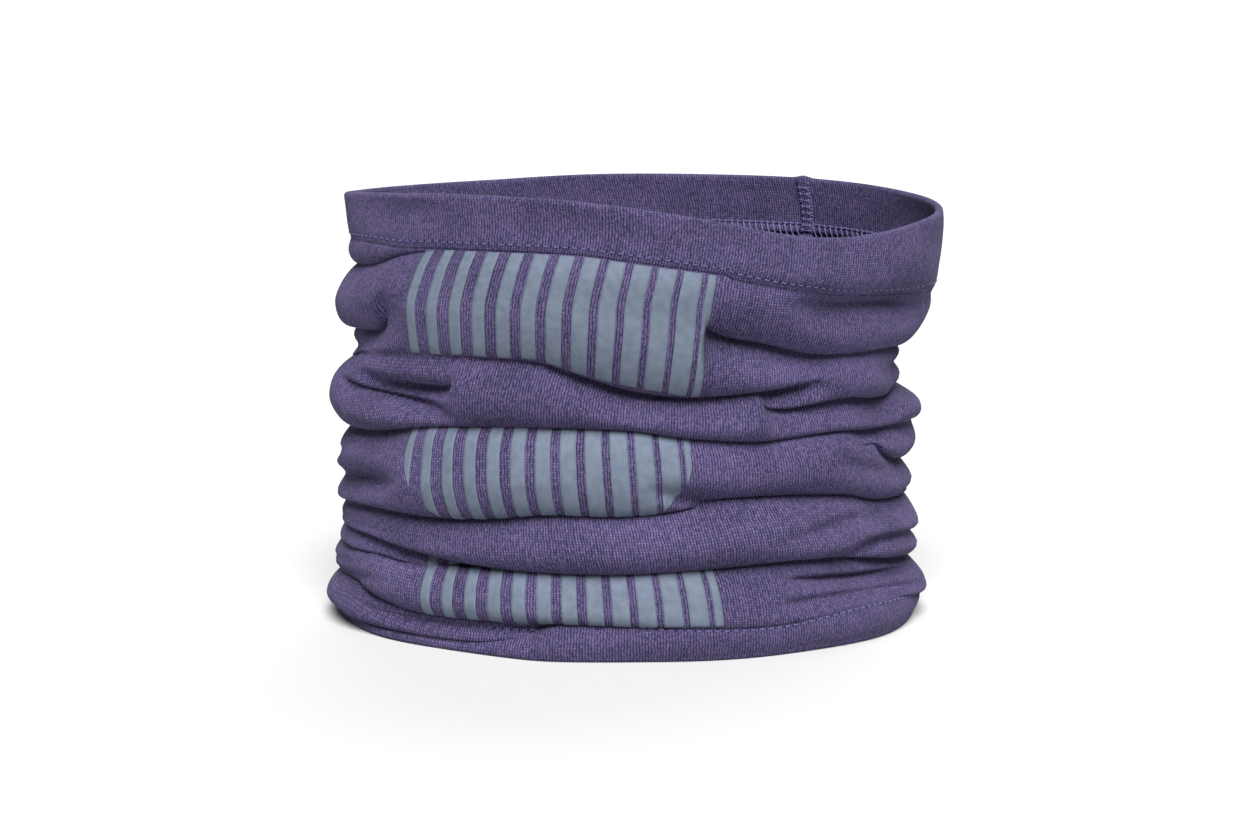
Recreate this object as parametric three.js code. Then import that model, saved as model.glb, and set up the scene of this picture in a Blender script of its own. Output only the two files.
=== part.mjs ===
// Knitted neck gaiter, pushed down into soft rolls and standing on its lower hem.
// Millimetres. +Z up, the printed front faces -Y, +X is to the right of that front.
// The origin is on the surface it stands on, at the middle of the tube.
import * as THREE from "three";

// Driving dimensions
const INNER_HALF_WIDTH = 87; // semi-axis of the tube's inside, left to right
const INNER_HALF_DEPTH = 60; // semi-axis of the tube's inside, front to back
const ROLL_CREASES = [12, 28, 46, 68, 86, 117]; // heights at which the cloth folds inwards
const HEIGHT = 137; // top of the rim at its highest, at the back left
const RIM_DIP = 12; // the rim is this much lower at the front right
const DIP_DIRECTION = THREE.MathUtils.degToRad(45);
const CREASE_OUTSET = 2; // cloth surface outside the inner oval, in a crease
const CREST_OUTSET = 8; // and on the crest of a roll
const HEM_THICKNESS = 2.4; // two layers of knit and the turned raw edge
const TOP_HEM_OUTSET = 3.6; // a hem's inner face
const BOTTOM_HEM_OUTSET = 4.6;
const TUBE_AT_TOP_HEM = 4.6; // the tube's outer face where each hem's stitches hold it
const TUBE_AT_BOTTOM_HEM = 6.6;
const NEEDLE_ROW_ABOVE_EDGE = 5; // needle thread over the top hem's lower edge
const LOOPER_BAND = 5; // height of the looper thread's cover on a hem's inside
const THREAD = 0.5;
const GAP = 0.3; // between pieces that touch on the real thing
const ROUND_STEPS = 48;

// Back seam, where the panel's two edges are overlocked together
const SEAM_ANGLE = THREE.MathUtils.degToRad(142);
const SEAM_WIDTH = 5;
const SEAM_THICKNESS = 2;
const OVERLOCK_WIDTH = 4;

// Printed bars: thirteen strips of transfer film in each of three blocks
const BARS = 13;
const BAR_PITCH = 7.7;
const FIRST_GAP = 3.1;
const LAST_GAP = 1.1;
const CLOSING_BAR = 2.6;
const PRINT_START = -69; // along the cloth from the middle of the front
const FILM = 0.5;
const PRINTED_ROLLS = { lower: 0, middle: 2, upper: 4 }; // which roll carries each block

// Heights across one roll, as shares of it
const ROLL_SHARES = [0, 0.05, 0.2, 0.5, 0.8, 0.95];

const oval = new THREE.EllipseCurve(
  0, 0, INNER_HALF_WIDTH, INNER_HALF_DEPTH, -Math.PI / 2, (3 * Math.PI) / 2,
);
oval.arcLengthDivisions = 720;
const GIRTH = oval.getLength();

// The oval's angle, from the middle of the front, at a length along it.
function angleAlong(arc) {
  const length = (arc + GIRTH) % GIRTH;
  return 2 * Math.PI * oval.getUtoTmapping(0, length);
}

// The height of the rim over its full height, all round.
function rimShare(angle) {
  return 1 - (RIM_DIP / HEIGHT) * 0.5 * (1 + Math.cos(angle - DIP_DIRECTION));
}

// A place on the gaiter: angle round it, outset from the inner oval, and height before the rim's dip.
function place(angle, outset, height) {
  const sin = Math.sin(angle);
  const cos = Math.cos(angle);
  const normal = new THREE.Vector2(sin / INNER_HALF_WIDTH, -cos / INNER_HALF_DEPTH).normalize();
  return new THREE.Vector3(
    INNER_HALF_WIDTH * sin + outset * normal.x,
    -INNER_HALF_DEPTH * cos + outset * normal.y,
    height * rimShare(angle),
  );
}

// Moves every vertex of a geometry to where a function says.
function bend(geometry, where) {
  const position = geometry.getAttribute("position");
  for (let i = 0; i < position.count; i += 1) {
    const to = where(position.getX(i), position.getY(i), position.getZ(i));
    position.setXYZ(i, to.x, to.y, to.z);
  }
  geometry.computeVertexNormals();
  return geometry;
}

// A closed ring all round the gaiter, from a section of [outset, height] points.
function ring(section) {
  const radius = 100; // any radius that keeps the section off the lathe's axis
  const points = [...section, section[0]].map(([out, height]) => new THREE.Vector2(radius + out, height));
  const lathe = new THREE.LatheGeometry(points, ROUND_STEPS);
  return bend(lathe, (x, y, z) => {
    const step = Math.round((Math.atan2(x, z) / (2 * Math.PI)) * ROUND_STEPS);
    const turn = ((step + ROUND_STEPS) % ROUND_STEPS) / ROUND_STEPS;
    return place(2 * Math.PI * turn, Math.hypot(x, z) - radius, y);
  });
}

// A strip on the cloth: a flat box bent onto it, between two places along the oval.
// heights run upwards, and outsets gives the strip's inner face at each of them.
function strip(from, to, heights, outsets, thickness) {
  const rows = heights.length - 1;
  const box = new THREE.BoxGeometry(to - from, rows, thickness, 2, rows, 1);
  return bend(box, (x, y, z) => {
    const row = Math.round(y + rows / 2);
    const angle = angleAlong((from + to) / 2 + x);
    return place(angle, outsets[row] + thickness / 2 + z, heights[row]);
  });
}

// The cloth's outset at a share of a roll's height: a soft pillow between two creases.
function rollOutset(share) {
  return CREASE_OUTSET + (CREST_OUTSET - CREASE_OUTSET) * Math.sqrt(Math.sin(Math.PI * share));
}

function material(colour, roughness) {
  return new THREE.MeshStandardMaterial({ color: colour, roughness, metalness: 0 });
}

const knit = material("#5f5180", 0.95);
const hemKnit = material("#62547f", 0.95);
const thread = material("#4a4377", 0.7);
const film = material("#8494a6", 0.6);

const gaiter = new THREE.Group();

function add(name, geometry, finish) {
  const mesh = new THREE.Mesh(geometry, finish);
  mesh.name = name;
  gaiter.add(mesh);
}

// The tube: a wall whose outside follows the rolls, between the two hems.
function tubeSection() {
  const outside = [];
  for (let roll = 0; roll < ROLL_CREASES.length - 1; roll += 1) {
    const base = ROLL_CREASES[roll];
    const tall = ROLL_CREASES[roll + 1] - base;
    for (const share of ROLL_SHARES) outside.push([rollOutset(share), base + share * tall]);
  }
  const bottom = ROLL_CREASES[0];
  const top = ROLL_CREASES.at(-1);
  outside[0] = [TUBE_AT_BOTTOM_HEM, bottom];
  return [...outside, [TUBE_AT_TOP_HEM, top], [0, top], [0, bottom]];
}
add("main_tube", ring(tubeSection()), knit);

// A hem's section: the outer face, a rounded edge, and the turned-in face.
function hemSection(outset, from, to, upwards) {
  const round = HEM_THICKNESS / 2;
  const middle = outset + round;
  const nose = upwards ? to - round : from + round;
  const far = upwards ? to : from;
  const flat = 0.35 * round;
  const edge = [
    [outset + HEM_THICKNESS, nose],
    [middle + flat, far],
    [middle - flat, far],
    [outset, nose],
  ];
  const open = upwards
    ? [[outset, from], [outset + HEM_THICKNESS, from]]
    : [[outset, to], [outset + HEM_THICKNESS, to]];
  return upwards ? [...edge, ...open] : [...edge, ...open].reverse();
}
const topHemFrom = ROLL_CREASES.at(-1) + GAP;
const bottomHemTo = ROLL_CREASES[0] - GAP;
add("top_hem", ring(hemSection(TOP_HEM_OUTSET, topHemFrom, HEIGHT, true)), hemKnit);
add("bottom_hem", ring(hemSection(BOTTOM_HEM_OUTSET, 0, bottomHemTo, false)), hemKnit);

// Hem threads: the needle thread's row outside, and the looper thread's band inside.
function band(outset, from, to) {
  return ring([[outset + THREAD, from], [outset + THREAD, to], [outset, to], [outset, from]]);
}
function hemThreads(hem, outset, needleHeight) {
  const outer = outset + HEM_THICKNESS + GAP;
  const inner = outset - GAP - THREAD;
  add(`${hem}_needle_thread`, band(outer, needleHeight, needleHeight + THREAD), thread);
  const from = needleHeight - LOOPER_BAND / 2;
  add(`${hem}_looper_thread`, band(inner, from, from + LOOPER_BAND), thread);
}
hemThreads("top_hem", TOP_HEM_OUTSET, ROLL_CREASES.at(-1) + NEEDLE_ROW_ABOVE_EDGE);
hemThreads("bottom_hem", BOTTOM_HEM_OUTSET, ROLL_CREASES[0] - 3.5);

// The back seam: the overlocked edges stand inside the tube and run up behind both hems.
// Each entry is a height and the outset of whatever the seam lies against there.
const SEAM_BACKING = [
  [1.5, BOTTOM_HEM_OUTSET - GAP - THREAD],
  [bottomHemTo - 1.6, BOTTOM_HEM_OUTSET - GAP - THREAD],
  [bottomHemTo + 0.1, 0],
  [topHemFrom - 0.1, 0],
  [topHemFrom + 1.9, TOP_HEM_OUTSET - GAP - THREAD],
  [HEIGHT - 2, TOP_HEM_OUTSET - GAP - THREAD],
];
const FACET_ALLOWANCE = 0.2; // the ring's flat facets cut inside the true oval

// The length along the oval at which an angle falls, by halving.
function arcAt(angle) {
  let low = 0;
  let high = GIRTH;
  for (let i = 0; i < 40; i += 1) {
    const middle = (low + high) / 2;
    if (angleAlong(middle) < angle) low = middle;
    else high = middle;
  }
  return low;
}
function seamStrip(width, inset, thickness) {
  const middle = arcAt(SEAM_ANGLE);
  const heights = SEAM_BACKING.map(([height]) => height);
  const faces = SEAM_BACKING.map(([, backing]) => backing - GAP - FACET_ALLOWANCE - inset - thickness);
  return strip(middle - width / 2, middle + width / 2, heights, faces, thickness);
}
add("back_seam_allowance", seamStrip(SEAM_WIDTH, 0, SEAM_THICKNESS), knit);
add("back_seam_overlock_thread", seamStrip(OVERLOCK_WIDTH, SEAM_THICKNESS + GAP, THREAD), thread);

// One printed bar on a roll, following the pillow of the cloth.
function printedBar(roll, index) {
  const gap = THREE.MathUtils.lerp(FIRST_GAP, LAST_GAP, index / (BARS - 2));
  const width = index === BARS - 1 ? CLOSING_BAR : BAR_PITCH - gap;
  const from = PRINT_START + index * BAR_PITCH;
  const base = ROLL_CREASES[roll];
  const tall = ROLL_CREASES[roll + 1] - base;
  const shares = ROLL_SHARES.slice(1);
  const heights = shares.map((share) => base + share * tall);
  const outsets = shares.map((share) => rollOutset(share) + GAP);
  return strip(from, from + width, heights, outsets, FILM);
}
for (const [block, roll] of Object.entries(PRINTED_ROLLS)) {
  for (let i = 0; i < BARS; i += 1) {
    const number = String(i + 1).padStart(2, "0");
    add(`${block}_print_bar_${number}`, printedBar(roll, i), film);
  }
}

export default gaiter;
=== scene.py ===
"""A knitted neck gaiter, pushed down into soft rolls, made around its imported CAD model.

Meshes are in metres. The drape is worked out in millimetres, in two measures: degrees round the gaiter
from the middle of its printed front (-Y) towards +X, and a level, the height at which a piece of cloth
would lie if it didn't sag over the tuck below it.
"""

import logging
import math
from dataclasses import dataclass, field
from enum import Enum
from typing import Callable, Sequence

import bmesh
import bpy
import numpy as np
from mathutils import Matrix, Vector

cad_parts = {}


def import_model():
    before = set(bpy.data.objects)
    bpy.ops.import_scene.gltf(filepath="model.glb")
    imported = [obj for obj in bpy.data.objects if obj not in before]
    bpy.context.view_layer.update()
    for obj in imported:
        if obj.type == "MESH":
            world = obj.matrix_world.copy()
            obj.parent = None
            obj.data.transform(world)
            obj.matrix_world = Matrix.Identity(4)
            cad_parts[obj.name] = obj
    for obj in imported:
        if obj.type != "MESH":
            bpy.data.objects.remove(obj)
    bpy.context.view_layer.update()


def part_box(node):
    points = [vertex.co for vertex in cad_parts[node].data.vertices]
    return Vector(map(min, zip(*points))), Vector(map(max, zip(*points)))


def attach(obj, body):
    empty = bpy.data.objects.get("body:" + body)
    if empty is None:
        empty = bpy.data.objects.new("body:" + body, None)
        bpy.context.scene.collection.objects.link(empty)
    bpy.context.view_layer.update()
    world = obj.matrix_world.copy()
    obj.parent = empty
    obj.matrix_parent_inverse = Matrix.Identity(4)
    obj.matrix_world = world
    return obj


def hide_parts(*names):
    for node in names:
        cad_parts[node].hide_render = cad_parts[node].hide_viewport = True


LOG = logging.getLogger("neck_gaiter")
MM = 0.001
BODY = "root"
CAD_CREST = 8.0  # mm, the CAD rolls' outset from the oval under their creases
CLOTH_MAP = "cloth"  # every cloth piece's UV map: metres across and along the flat cloth

Points = Sequence[tuple[float, ...]]


# ---------------------------------------------------------------- the drape


@dataclass(frozen=True)
class Tuck:
    """A line along which the cloth tucks inwards between two rolls.

    Attributes:
        points: (degrees, level, depth in mm) along the line.
        below: reach of the shoulder under the line, in mm.
        above: reach of the underside of the roll over it, in mm.
        lip: sag of that roll over the line, for each mm of depth.
    """

    points: Points
    below: float = 5.5
    above: float = 3.2
    lip: float = 0.42


# The tucks that run all the way round, from the lower hem's stitching to the upper hem's.
LOWER_HEM_LINE = Tuck(((-170, 12, 4), (-130, 14, 4), (-84, 15.3, 5), (-67, 16.4, 6), (-58, 14.1, 6.5),
    (-42, 12, 6.5), (-15, 11.8, 5), (0, 11, 3.5), (12, 9.9, 1.8), (29, 9.2, 1.3), (47, 11.6, 1.5),
    (63, 10.8, 2.2), (84, 7.8, 3), (120, 9, 3), (150, 11, 3.5)), below=4, above=3)
LOWER_TUCK = Tuck(((-170, 30, 7), (-130, 32, 6), (-84, 32.5, 6), (-61, 32.3, 6.5), (-46, 30.8, 7.5),
    (-34, 29.3, 8), (-21, 27.9, 8), (-2, 27.8, 8.5), (18, 29, 8.5), (34, 29.6, 8), (50, 28, 8),
    (66, 24.5, 7.5), (84, 21.9, 7), (120, 22, 7), (150, 26, 7)))
MIDDLE_TUCK = Tuck(((-170, 45, 7), (-130, 42, 6), (-84, 39.6, 5), (-57, 41.1, 6), (-40, 41.4, 7.5),
    (-27, 42.7, 8), (-15, 45.1, 8.5), (0, 45, 8.5), (11, 46.2, 8), (20, 48.7, 8), (30, 49.1, 8),
    (49, 47.2, 8), (61, 44.2, 9), (84, 41.5, 7), (120, 42, 7), (150, 44, 7.5)))
UPPER_TUCK = Tuck(((-170, 66, 8), (-130, 65, 7), (-84, 63.5, 7), (-61, 64.9, 8), (-41, 68.7, 8),
    (-21, 70.2, 8.5), (0, 70, 8.5), (11, 67.7, 8.5), (27, 65.6, 8), (44, 66.8, 8), (55, 65.7, 7),
    (72, 64.4, 5), (84, 63.5, 3.5), (120, 62, 6), (150, 64, 8)))
PRINT_TUCK = Tuck(((-170, 85, 7), (-130, 84, 7), (-84, 84.3, 7.5), (-63, 87.2, 4.5), (-45, 88, 2.8),
    (-28, 87.6, 2.8), (-17, 87.3, 4), (-8, 84.5, 7), (0, 81.6, 8.5), (11, 79.5, 9), (26, 80.4, 9),
    (34, 81.2, 8), (42, 80.6, 3.5), (52, 78, 2), (62, 75.6, 2.5), (84, 74.6, 3), (120, 77, 7),
    (150, 81, 7)))
UPPER_HEM_LINE = Tuck(((-170, 118.8, 3), (-130, 119.8, 2.5), (-84, 119.8, 1), (-46, 119.5, 1),
    (-34, 118.9, 1.2), (-12, 117.3, 1.4), (-2, 115.4, 1.4), (9, 113.1, 1.4), (18, 111, 1.5), (28, 108.4, 2),
    (39, 106.3, 3.2), (50, 105.6, 4.2), (64, 104.8, 3.8), (76, 104, 1.6), (84, 103.5, 1.2), (110, 107, 2),
    (145, 115.5, 3)), below=4.5, above=1.6, lip=0.2)
RINGS = (LOWER_HEM_LINE, LOWER_TUCK, MIDDLE_TUCK, UPPER_TUCK, PRINT_TUCK, UPPER_HEM_LINE)

# The tucks that start and end part of the way round.
BRANCHES = (
    # under the upper hem, left and right
    Tuck(((-165, 111, 0), (-140, 111.5, 3), (-110, 112.5, 4.5), (-84, 113.2, 5), (-64, 113.8, 4.2),
        (-52, 116.8, 3), (-41, 117.8, 1.8), (-25, 117.6, 0.8), (-10, 117, 0)), below=5, above=1.8),
    Tuck(((24, 106.4, 0), (30, 105, 2.4), (38, 103.4, 5), (50, 102.6, 6.4), (62, 102, 6), (74, 101.4, 3.6),
        (86, 101, 0)), below=5, above=3.4, lip=0.15),
    # the hooked tuck under the left shoulder of the top roll
    Tuck(((-150, 96, 0), (-125, 94, 4), (-100, 93.5, 6), (-84, 94, 6.5), (-68, 94.5, 6.5), (-61, 95, 6.6),
        (-57, 96.4, 5.4), (-55, 99.4, 3.4), (-55, 103, 1.6), (-56, 106, 0)), below=7, above=3),
    # the slanting dent at the right of the top roll
    Tuck(((13.5, 97.6, 0), (15.5, 97, 7), (20, 95.8, 9), (26, 94.2, 9), (33, 91.6, 8.5), (40, 89, 7),
        (50, 87.8, 5), (60, 88.2, 5), (72, 88.6, 7), (90, 89, 8), (110, 90.5, 7), (130, 93, 4),
        (145, 95, 0)), below=7, above=4.2),
    # the hollows between the top two rolls, left and right
    Tuck(((-150, 89, 0), (-125, 89, 3), (-100, 89, 5.5), (-84, 89.5, 6.5), (-72, 90.5, 6), (-63, 92, 3.5),
        (-56, 93, 0)), below=5, above=4, lip=0),
    Tuck(((52, 83, 0), (60, 82.5, 3.5), (72, 81.6, 6.5), (84, 81, 8), (98, 82, 6), (115, 83, 3),
        (130, 84, 0)), below=6, above=6, lip=0),
    Tuck(((50, 77, 0), (57, 76, 3), (66, 74.6, 7), (76, 73.6, 9), (88, 73.4, 9), (102, 74, 6),
        (120, 75.6, 0)), below=1.4, above=6, lip=0),
    # the pinch at the left of the second roll
    Tuck(((-70, 83, 0), (-62, 82.4, 4), (-54, 81.8, 6), (-46, 81.4, 7), (-40, 81, 7), (-35.5, 80.4, 5),
        (-33, 80, 0)), below=4.2, above=2.4),
    Tuck(((-76, 78, 0), (-67, 77.9, 5), (-57, 77.6, 7), (-48, 76.8, 7), (-41, 75.8, 6), (-35, 74.2, 4),
        (-29, 72.4, 0)), below=4.6, above=2.6),
    Tuck(((-34, 73.2, 0), (-30, 73, 3), (-21, 73.3, 4), (-15, 72.8, 3), (-9, 72, 0)), below=1.4, above=1.6),
    # the small fold that starts under the upper print
    Tuck(((-17, 83.2, 0), (-13, 83, 2.6), (-8, 80.6, 4), (-3, 78.6, 5), (3, 77, 4.6), (9, 76, 3),
        (15, 75.6, 0)), below=3.4, above=1.8),
    # the finger at the right of the second roll
    Tuck(((26, 74.4, 0), (28, 74.6, 6), (32, 74.9, 8), (37, 75.4, 8), (43, 76.2, 7.5), (50, 76.4, 7.5),
        (58, 75.4, 7.5), (66, 75.2, 7), (74, 75, 0)), below=6.5, above=2.6),
    Tuck(((48, 60.4, 0), (52, 59.8, 3.5), (58, 59.8, 5), (63, 56.6, 6), (72, 54.4, 7.5), (88, 53.4, 8),
        (108, 54.5, 6), (130, 57, 3), (145, 58, 0)), below=5, above=3),
    Tuck(((-150, 57, 0), (-125, 56, 4), (-100, 55, 6), (-84, 55, 6), (-77, 55.3, 3),
        (-70, 56, 0)), below=4, above=2.6),
    # across the middle print and beside it
    Tuck(((-125, 46, 0), (-100, 46, 3), (-84, 46.5, 5), (-74, 47.5, 6.4), (-64, 48.9, 6.4),
        (-55, 49.3, 4.6), (-49, 50, 2), (-45, 50.4, 0)), below=4.6, above=4.6, lip=0.2),
    Tuck(((2, 53, 0), (6, 52.2, 2.5), (11, 50.9, 5), (16, 50.3, 6), (22, 49.7, 6),
        (27, 49.3, 0)), below=1.6, above=2.4),
    Tuck(((60, 47.2, 0), (68, 46.2, 2.5), (84, 45.4, 4), (100, 46, 3), (118, 47, 0)), below=1.8, above=1.6),
    Tuck(((36, 57, 0), (46, 56.4, 2.4), (60, 53, 3.6), (74, 50.8, 3),
        (84, 50, 0)), below=4, above=3, lip=0.1),
    # across the third roll
    Tuck(((-6, 39.6, 0), (6, 40.2, 2.6), (18, 42, 4), (28, 43.6, 3.4),
        (38, 44.4, 0)), below=4, above=3, lip=0.1),
    Tuck(((22, 35.4, 0), (34, 37, 3), (48, 38.6, 4.6), (64, 38.2, 4.4), (84, 36.4, 2.6),
        (104, 36, 0)), below=4, above=3.4, lip=0.1),
    Tuck(((-120, 36.5, 0), (-100, 36.4, 2.6), (-84, 36.2, 3.4), (-66, 36.8, 3.6), (-50, 36.2, 3.2),
        (-36, 35.2, 2), (-24, 34.6, 0)), below=3.4, above=2.6, lip=0.15),
    # the thin roll over the lower print, and the two lines under it
    Tuck(((-120, 25.5, 0), (-100, 25.4, 4), (-84, 25.6, 5), (-70, 26.6, 5), (-57, 27, 5.4), (-46, 26.1, 6),
        (-36, 25.6, 6), (-27, 25.7, 5.4), (-19, 26.3, 4), (-10, 27.2, 0)), below=4, above=1.7),
    Tuck(((-115, 19.5, 0), (-98, 20, 2), (-84, 20.6, 2.6), (-65, 23.4, 2.6), (-52, 24.1, 2.4),
        (-43, 24.7, 1.4), (-37, 25.2, 0)), below=2, above=1.2),
    Tuck(((-112, 16.6, 0), (-98, 17.4, 2.4), (-84, 18, 3.2), (-68, 20, 3), (-56, 20.6, 2.4),
        (-46, 20, 0)), below=2.6, above=1.8),
    Tuck(((33, 29.7, 0), (38, 29.8, 3), (47, 31.3, 5), (59, 32.6, 5), (84, 29.2, 4), (100, 28.6, 3),
        (120, 29, 0)), below=2.6, above=2.2),
    Tuck(((26, 22, 0), (31, 22, 3), (38, 21.8, 6), (50, 20.6, 7), (68, 18.6, 5.6), (84, 16.6, 2.6),
        (96, 15.6, 0)), below=3.6, above=3.4, lip=0.2),
    Tuck(((26, 15.4, 0), (34, 15.8, 3), (46, 16, 4.4), (64, 14.8, 4), (84, 12.6, 2),
        (98, 11.6, 0)), below=3, above=2.6, lip=0.15),
    # in the lower hem, at the left
    Tuck(((-115, 3.8, 0), (-98, 3.8, 3), (-84, 4.4, 4), (-72, 5.4, 6), (-47, 5.6, 7.4), (-31, 5.9, 7.4),
        (-24, 6.6, 7), (-19, 7.8, 6), (-15, 9.4, 4), (-10, 11, 0)), below=2.8, above=2.8),
    # the back
    Tuck(((150, 101, 0), (160, 102, 4), (172, 103, 5.5), (-176, 103, 5),
        (-160, 101.5, 0)), below=6, above=3),
    Tuck(((118, 68, 0), (128, 70, 4), (142, 72.5, 6), (160, 74, 5), (175, 74.5, 2.5),
        (-178, 75, 0)), below=5, above=3),
    Tuck(((160, 55, 0), (170, 54.5, 4), (-178, 53.5, 6), (-160, 53, 6), (-142, 54, 4),
        (-134, 55, 0)), below=5, above=2.6),
    Tuck(((128, 33, 0), (138, 34.5, 4), (152, 35.5, 5.5), (168, 36, 4),
        (180, 36.5, 0)), below=4.5, above=2.6),
    Tuck(((130, 18, 0), (142, 17.6, 3), (158, 18.4, 4), (176, 20.5, 4), (-166, 22, 2.6),
        (-150, 23, 0)), below=4, above=2.6),
)


def eased(t: np.ndarray, span: np.ndarray, i: np.ndarray, y: np.ndarray, slope: np.ndarray) -> np.ndarray:
    """Runs smoothly from each knot of a curve to the next.

    Args:
        t: how far each place lies past a knot, as a share of the span.
        span: the distance to the next knot.
        i: the number of the knot before each place.
        y: the values at the knots.
        slope: the slopes at the knots.

    Returns:
        The values at the places.
    """
    return (
        (2 * t**3 - 3 * t**2 + 1) * y[i]
        + (t**3 - 2 * t**2 + t) * span * slope[i]
        + (3 * t**2 - 2 * t**3) * y[i + 1]
        + (t**3 - t**2) * span * slope[i + 1]
    )


def around(points: Points, degrees: np.ndarray) -> np.ndarray:
    """Reads smooth closed curves at any angles.

    Args:
        points: rows of degrees and values, in order within one turn.
        degrees: the angles to read at.

    Returns:
        The values there, in a last axis of their own.
    """
    knots = np.array(points, float)
    turn = np.zeros_like(knots[:1])
    turn[0, 0] = 360
    knots = np.concatenate([knots[-2:] - turn, knots, knots[:2] + turn])
    x, y = knots[:, 0], knots[:, 1:]
    slope = np.zeros_like(y)
    slope[1:-1] = (y[2:] - y[:-2]) / (x[2:] - x[:-2])[:, None]
    wrapped = (degrees - x[2]) % 360 + x[2]
    i = np.clip(np.searchsorted(x, wrapped, side="right") - 1, 2, len(x) - 3)
    span = (x[i + 1] - x[i])[..., None]
    return eased((wrapped - x[i])[..., None] / span, span, i, y, slope)


def along(points: Points, level: np.ndarray) -> np.ndarray:
    """Reads a smooth open curve.

    Args:
        points: rows of level and value, in order.
        level: the levels to read at.

    Returns:
        The values there.
    """
    x, y = np.array(points, float).T
    inside = np.clip(level, x[0], x[-1])
    i = np.clip(np.searchsorted(x, inside, side="right") - 1, 0, len(x) - 2)
    span = x[i + 1] - x[i]
    return eased((inside - x[i]) / span, span, i, y, np.gradient(y, x))


def smooth_path(points: np.ndarray, per_span: int) -> np.ndarray:
    """Samples a smooth open curve through points.

    Args:
        points: rows of coordinates.
        per_span: samples between each two points.

    Returns:
        The samples, the last point included.
    """
    ends = np.concatenate([2 * points[:1] - points[1:2], points, 2 * points[-1:] - points[-2:-1]])
    t = (np.arange(per_span) / per_span)[None, :, None]
    a, b, c, d = (ends[k : len(ends) - 3 + k, None, :] for k in range(4))
    curve = 0.5 * (2 * b + (c - a) * t + (2 * a - 5 * b + 4 * c - d) * t**2 + (3 * b - a - 3 * c + d) * t**3)
    return np.concatenate([curve.reshape(-1, points.shape[1]), points[-1:]])


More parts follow.
